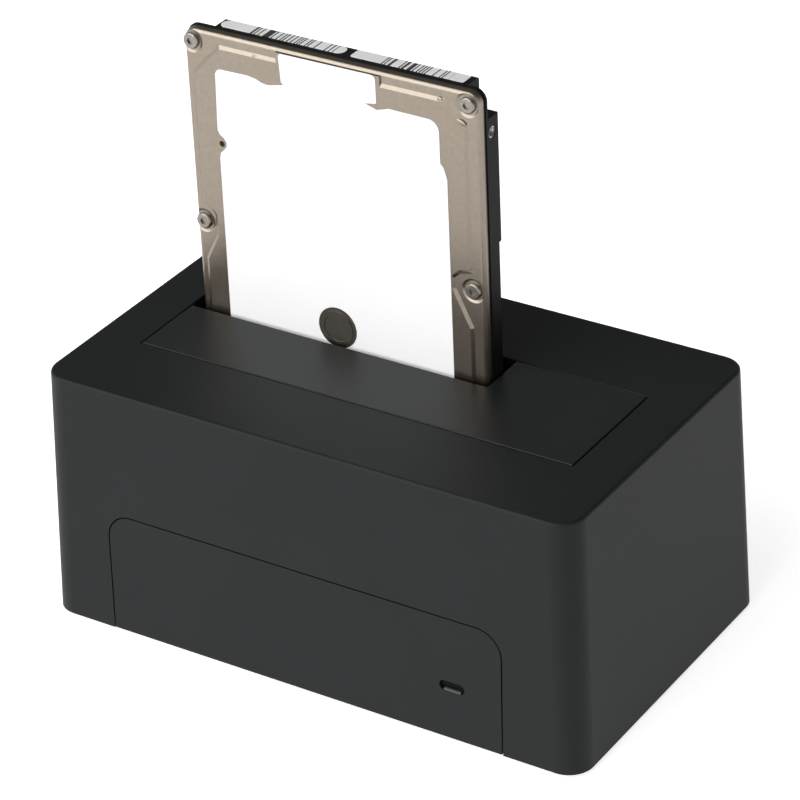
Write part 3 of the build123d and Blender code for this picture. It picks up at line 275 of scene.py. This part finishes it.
dress(gold_plate, "sata_contacts", "usb_contacts", "drive_contacts")


# Ports on the back: a blue port insert in a folded steel shell, a black power inlet with a
# steel pin, and the power button in the casing's plastic.
port_plastic = moulded("port_plastic", dark=(0.01, 0.055, 0.3), light=(0.014, 0.07, 0.36),
                       grain=0.0003, grain_depth=0.00001, roughness=(0.35, 0.48), specular=0.45,
                       cloud=0.002)
dress(port_plastic, "usb_port_insert")
port_steel = metal("port_steel", dark=(0.5, 0.5, 0.49), light=(0.62, 0.62, 0.61),
                   roughness=(0.2, 0.32), mottle=0.002, finer=(1, 4, 1))
dress(port_steel, "usb_port_shell", "jack_pin")
dress(socket_plastic, "power_jack")
dress(casing_plastic, "power_button")


# Status light: a pale resin lamp, and the moulded pipe that carries its light to the slot in
# the front panel. The lamp is off, and the pipe's nearly black colour is painted shade from
# the slot around its end.
lamp_resin = moulded("lamp_resin", dark=(0.6, 0.62, 0.64), light=(0.75, 0.77, 0.8),
                     grain=0.0004, grain_depth=0.00001, roughness=(0.15, 0.25), specular=0.5,
                     cloud=0.001)
dress(lamp_resin, "status_light")
# painted shade: the pipe's near-black tone and faint sheen stand in for the shade in the slot
pipe_painted_shade = moulded("pipe_painted_shade", dark=(0.003, 0.0032, 0.0034), light=(0.004, 0.0043, 0.0046),
                     grain=0.0004, grain_depth=0.00001, roughness=(0.4, 0.5), specular=0.05,
                     cloud=0.002)
dress(pipe_painted_shade, "light_pipe")


# Lip of the light pipe: a ledge of resin on the bottom of the slot, in front of the pipe's
# dark end, so that the light also shows from above. Its pale tone is a painted highlight.
# painted highlight: the ledge's pale tone stands in for light falling on the slot's bottom
lip_painted_highlight = moulded("lip_painted_highlight", dark=(0.07, 0.085, 0.085), light=(0.1, 0.12, 0.12),
                    grain=0.0004, grain_depth=0.000005, roughness=(0.2, 0.3), specular=0.4,
                    cloud=0.002)
slot_height = 0.0023
slot_clearance = 0.0001
lip_width = 0.0039
lip_depth = 0.00052
lip_height = 0.00035
lip_corner = 0.00015
lip_gap = 0.00002
pipe_low, pipe_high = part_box("light_pipe")
lip = rounded_plate(lip_width, lip_depth, lip_height, lip_corner, corner_steps=3)
lip_place = ((pipe_low.x + pipe_high.x) / 2, pipe_low.y - lip_gap - lip_depth / 2,
             pipe_high.z + slot_clearance - slot_height + lip_gap)
bmesh.ops.translate(lip, vec=lip_place, verts=lip.verts[:])
hang("light_pipe_lip", lip, "dock", lip_painted_highlight)


# Drive case: an aluminium casting, painted matt black, with the slight orange peel of paint
# over cast metal.
cast_paint = moulded("cast_paint", dark=(0.003, 0.003, 0.0032), light=(0.0055, 0.0055, 0.0058),
                     grain=0.0005, grain_depth=0.00003, roughness=(0.42, 0.56), specular=0.1,
                     cloud=0.004)
dress(cast_paint, "drive_case")


# Thread bores: the casting's mounting holes are tapped after it is painted, so bare metal
# with the thread's ridges shows inside them, two on each side and four on the back.
thread_metal = metal("thread_metal", dark=(0.5, 0.49, 0.47), light=(0.66, 0.65, 0.63),
                     roughness=(0.25, 0.38), mottle=0.0005)
bore_outer_radius = 0.00122
bore_ridge_radius = 0.00098
bore_groove_radius = 0.00112
bore_steps = 32
thread_pitch = 0.0005
thread_turns = 5
mouth_set_back = 0.00015
bore_outline = [(bore_outer_radius, 0), (bore_outer_radius, -thread_turns * thread_pitch)]
for turn in range(thread_turns, 0, -1):
    bore_outline.append((bore_ridge_radius, -turn * thread_pitch))
    bore_outline.append((bore_groove_radius, -(turn - 0.5) * thread_pitch))
bore_outline.append((bore_ridge_radius, 0))

case_low, case_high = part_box("drive_case")
hole_from_top_shares = (0.0975, 0.8603)
side_hole_from_rear = 0.0026
rear_hole_inset = 0.00407
hole_heights = [case_high.z - share * (case_high.z - case_low.z) for share in hole_from_top_shares]
mouths = []
for height in hole_heights:
    depth = case_high.y - side_hole_from_rear
    mouths.append((Vector((case_low.x + mouth_set_back, depth, height)), Vector((-1, 0, 0))))
    mouths.append((Vector((case_high.x - mouth_set_back, depth, height)), Vector((1, 0, 0))))
    for across in (case_low.x + rear_hole_inset, case_high.x - rear_hole_inset):
        mouths.append((Vector((across, case_high.y - mouth_set_back, height)), Vector((0, 1, 0))))
for number, (mouth, outward) in enumerate(mouths, 1):
    bore = bmesh.new()
    corners = [bore.verts.new((x, 0, z)) for x, z in bore_outline]
    edges = [bore.edges.new((corners[i - 1], corners[i])) for i in range(len(corners))]
    bmesh.ops.spin(bore, geom=corners + edges, cent=(0, 0, 0), axis=(0, 0, 1), dvec=(0, 0, 0),
                   angle=math.tau, steps=bore_steps, use_merge=True)
    bmesh.ops.recalc_face_normals(bore, faces=bore.faces[:])
    turned = outward.to_track_quat("Z", "Y").to_matrix().to_4x4()
    bore.transform(Matrix.Translation(mouth) @ turned)
    hang(f"thread_bore_{number}", bore, "drive", thread_metal)


# Pads on the drive's board: gold plated test pads of several sizes, and the row of contacts
# for the motor beside its round cap, all printed flat on the board's outer face.
board_low, board_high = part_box("drive_board")
board_size = board_high - board_low
pad_thickness = 0.00004
pad_sides = 20
pad_chamfer_share = 0.92
test_pad_radii = (0.0005, 0.0007, 0.0009)
test_pad_shares = [(0.1, 0.86), (0.17, 0.72), (0.24, 0.8), (0.33, 0.66), (0.12, 0.5), (0.2, 0.34),
                   (0.29, 0.44), (0.41, 0.24), (0.55, 0.36), (0.63, 0.2), (0.71, 0.42), (0.83, 0.3),
                   (0.78, 0.56), (0.88, 0.64), (0.7, 0.74), (0.8, 0.84), (0.61, 0.62), (0.47, 0.5)]
motor_pad_count = 4
motor_pad_pitch = 0.0019
motor_pad_radius = 0.0007
motor_row_share = 0.9


def pad_disc(form, x, z, radius):
    """Add one flat pad with a chamfered rim to the board's outer face."""
    seat = Matrix.Translation((x, board_high.y + pad_thickness / 2, z))
    bmesh.ops.create_cone(form, cap_ends=True, segments=pad_sides, radius1=radius,
                          radius2=radius * pad_chamfer_share, depth=pad_thickness,
                          matrix=seat @ Matrix.Rotation(-math.pi / 2, 4, "X"))


pads = bmesh.new()
for number, (across, up) in enumerate(test_pad_shares):
    pad_disc(pads, board_low.x + across * board_size.x, board_low.z + up * board_size.z,
             test_pad_radii[number % len(test_pad_radii)])
board_middle = (board_low.x + board_high.x) / 2
for number in range(motor_pad_count):
    offset = (number - (motor_pad_count - 1) / 2) * motor_pad_pitch
    pad_disc(pads, board_middle + offset, board_low.z + motor_row_share * board_size.z, motor_pad_radius)
bmesh.ops.recalc_face_normals(pads, faces=pads.faces[:])
hang("drive_board_pads", pads, "drive", gold_plate)


# Drive cover: stamped stainless sheet, warm grey and finely matt, with a raised field and a
# folded skirt, held by six steel screws. The motor's cap on the back is of the same sheet,
# and the round seal is a darker foil.
cover_sheet = metal("cover_sheet", dark=(0.255, 0.218, 0.178), light=(0.298, 0.257, 0.212),
                    roughness=(0.3, 0.38), mottle=0.0009, dent_depth=0.000004)
dress(cover_sheet, "drive_cover", "spindle_cap")
seal_foil = metal("seal_foil", dark=(0.17, 0.155, 0.135), light=(0.21, 0.19, 0.165),
                  roughness=(0.32, 0.42), mottle=0.0009)
dress(seal_foil, "seal_disc")
screw_steel = metal("screw_steel", dark=(0.22, 0.205, 0.185), light=(0.3, 0.28, 0.255),
                    roughness=(0.26, 0.36), mottle=0.0008)
dress(screw_steel, "cover_screws")


# Embossed corners: small rounded swellings, pressed where the edge of the cover's raised
# field turns or steps. Their round tops catch the lamps as bright points.
cover_low, cover_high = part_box("drive_cover")
bead_rise = 0.00022
bead_sunk = 0.00002
bead_segments = 32
bead_rings = 16
# Each one's distance from the cover's right and top, half length, half width, lean in degrees.
corner_beads = ((0.00874, 0.00289, 0.0007, 0.0006, 0),
                (0.0042, 0.0067, 0.0013, 0.00055, 16.5),
                (0.05213, 0.00311, 0.0005, 0.00045, 0))
beads = bmesh.new()
for from_right, from_top, half_length, half_width, lean in corner_beads:
    middle = (cover_high.x - from_right, cover_low.y + bead_rise + bead_sunk, cover_high.z - from_top)
    swell = Matrix.Diagonal((half_length, bead_rise, half_width, 1))
    lay = Matrix.Translation(middle) @ Matrix.Rotation(math.radians(lean), 4, "Y") @ swell
    bmesh.ops.create_uvsphere(beads, u_segments=bead_segments, v_segments=bead_rings, radius=1, matrix=lay)
for face in beads.faces:
    face.smooth = True
hang("cover_embossed_corners", beads, "drive", cover_sheet)


# Drive label: plain white film with a notched outline, glued on the cover, with a faint
# unevenness in its sheen.
label_film = moulded("label_film", dark=(0.9, 0.9, 0.9), light=(0.92, 0.92, 0.92),
                     grain=0.0005, grain_depth=0.000003, roughness=(0.4, 0.5), specular=0.4)
dress(label_film, "cover_label")


# End labels: two narrow white stickers on the end of the casting, with plain bars whose
# uneven widths fall by chance.
bar_pitch = 0.00031
bar_ink = (0.03, 0.03, 0.032)
blank_share = 0.55


def worked_out(tree, operation, *terms):
    """One step of arithmetic, on other nodes' outputs and plain numbers."""
    step = tree.nodes.new("ShaderNodeMath")
    step.operation = operation
    for socket, term in zip(step.inputs, terms):
        if isinstance(term, bpy.types.NodeSocket):
            tree.links.new(term, socket)
        else:
            socket.default_value = term
    return step.outputs["Value"]


def barred(name, start, end):
    """White film with black bars across X, between a start and an end."""
    material = moulded(name, dark=(0.82, 0.82, 0.815), light=(0.88, 0.88, 0.875),
                       grain=0.0005, grain_depth=0.000005, roughness=(0.35, 0.45), specular=0.4,
                       cloud=0.01)
    tree = material.node_tree
    colour = tree.nodes["Principled BSDF"].inputs["Base Color"]
    film = colour.links[0].from_socket
    place = tree.nodes.new("ShaderNodeTexCoord")
    axes = tree.nodes.new("ShaderNodeSeparateXYZ")
    tree.links.new(place.outputs["Object"], axes.inputs["Vector"])
    along = axes.outputs["X"]
    strip = worked_out(tree, "FLOOR", worked_out(tree, "MULTIPLY", along, 1 / bar_pitch))
    chance = tree.nodes.new("ShaderNodeTexWhiteNoise")
    chance.noise_dimensions = "1D"
    tree.links.new(strip, chance.inputs["W"])
    dark = worked_out(tree, "GREATER_THAN", chance.outputs["Value"], blank_share)
    after = worked_out(tree, "GREATER_THAN", along, start)
    before = worked_out(tree, "LESS_THAN", along, end)
    bars = worked_out(tree, "MULTIPLY", worked_out(tree, "MULTIPLY", after, before), dark)
    print_over = tree.nodes.new("ShaderNodeMix")
    print_over.data_type = "RGBA"
    print_over.inputs["B"].default_value = (*bar_ink, 1)
    tree.links.new(bars, print_over.inputs["Factor"])
    tree.links.new(film, print_over.inputs["A"])
    tree.links.new(print_over.outputs["Result"], colour)
    return material


for side, lead, tail in (("left", 0.0077, 0.0021), ("right", 0.007, 0.0033)):
    low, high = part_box(f"end_label_{side}")
    dress(barred(f"barred_film_{side}", low.x + lead, high.x - tail), f"end_label_{side}")


# Studio: a plain pale floor that glows white only to the eye and in reflections, a soft white
# room that is dimmer overhead, a large soft box at the front left, a smaller one at the right
# and a small lamp for the glints.
floor_size = 8.0
floor_glow = 0.76
bpy.ops.mesh.primitive_plane_add(size=floor_size, location=(0, 0, 0))
floor = bpy.context.object
floor.name = "studio_floor"
floor_paint = bpy.data.materials.new("floor_paint")
floor_paint.use_nodes = True
tree = floor_paint.node_tree
paint = tree.nodes["Principled BSDF"]
paint.inputs["Base Color"].default_value = (0.8, 0.8, 0.8, 1)
paint.inputs["Roughness"].default_value = 1
paint.inputs["Specular IOR Level"].default_value = 0
rays = tree.nodes.new("ShaderNodeLightPath")
seen = worked_out(tree, "MAXIMUM", rays.outputs["Is Camera Ray"], rays.outputs["Is Glossy Ray"])
seen = worked_out(tree, "MAXIMUM", seen, rays.outputs["Is Transmission Ray"])
glow = tree.nodes.new("ShaderNodeEmission")
tree.links.new(worked_out(tree, "MULTIPLY", seen, floor_glow), glow.inputs["Strength"])
both = tree.nodes.new("ShaderNodeAddShader")
tree.links.new(paint.outputs["BSDF"], both.inputs[0])
tree.links.new(glow.outputs["Emission"], both.inputs[1])
tree.links.new(both.outputs["Shader"], tree.nodes["Material Output"].inputs["Surface"])
floor.data.materials.append(floor_paint)

horizon_level = 1.0
overhead_level = 0.12
horizon_until = 0.05
overhead_from = 0.35
world = bpy.data.worlds.new("studio_room")
bpy.context.scene.world = world
world.use_nodes = True
tree = world.node_tree
place = tree.nodes.new("ShaderNodeTexCoord")
axes = tree.nodes.new("ShaderNodeSeparateXYZ")
tree.links.new(place.outputs["Generated"], axes.inputs["Vector"])
fade = tree.nodes.new("ShaderNodeMapRange")
fade.inputs["From Min"].default_value = horizon_until
fade.inputs["From Max"].default_value = overhead_from
fade.inputs["To Min"].default_value = horizon_level
fade.inputs["To Max"].default_value = overhead_level
tree.links.new(axes.outputs["Z"], fade.inputs["Value"])
tree.links.new(fade.outputs["Result"], tree.nodes["Background"].inputs["Strength"])
tree.nodes["Background"].inputs["Color"].default_value = (1, 1, 1, 1)

lamp_aim = Vector((0, 0, 0.05))


def soft_box(name, azimuth, elevation, distance, size, power):
    """A square lamp that looks at the object, placed by its direction and distance."""
    light = bpy.data.lights.new(name, "AREA")
    light.shape = "SQUARE"
    light.size = size
    light.energy = power
    lamp = bpy.data.objects.new(name, light)
    bpy.context.scene.collection.objects.link(lamp)
    turn = math.radians(azimuth)
    rise = math.radians(elevation)
    away = Vector((math.sin(turn) * math.cos(rise), -math.cos(turn) * math.cos(rise), math.sin(rise)))
    lamp.location = lamp_aim + away * distance
    lamp.rotation_euler = away.to_track_quat("Z", "Y").to_euler()


soft_box("soft_box_front", azimuth=-26, elevation=34, distance=1.8, size=2.2, power=48)
soft_box("soft_box_right", azimuth=75, elevation=30, distance=1.6, size=0.8, power=2)
soft_box("accent_lamp", azimuth=-42, elevation=40, distance=0.65, size=0.05, power=0.1)


# Camera: a long lens at the photograph's viewing angle, a little above and to the right of
# the front.
camera_lens = 166.649
camera_film_width = 36
camera_near_limit = 0.01
camera_place = (0.359488, -0.541036, 0.428850)
camera_tilt = 59.69716
camera_lean = 2.27767
camera_turn = 32.17639
camera = bpy.data.objects.new("camera", bpy.data.cameras.new("camera"))
bpy.context.scene.collection.objects.link(camera)
camera.data.lens = camera_lens
camera.data.sensor_width = camera_film_width
camera.data.clip_start = camera_near_limit
camera.location = camera_place
camera.rotation_euler = [math.radians(angle) for angle in (camera_tilt, camera_lean, camera_turn)]
bpy.context.scene.camera = camera

bpy.context.scene.view_settings.view_transform = "Standard"
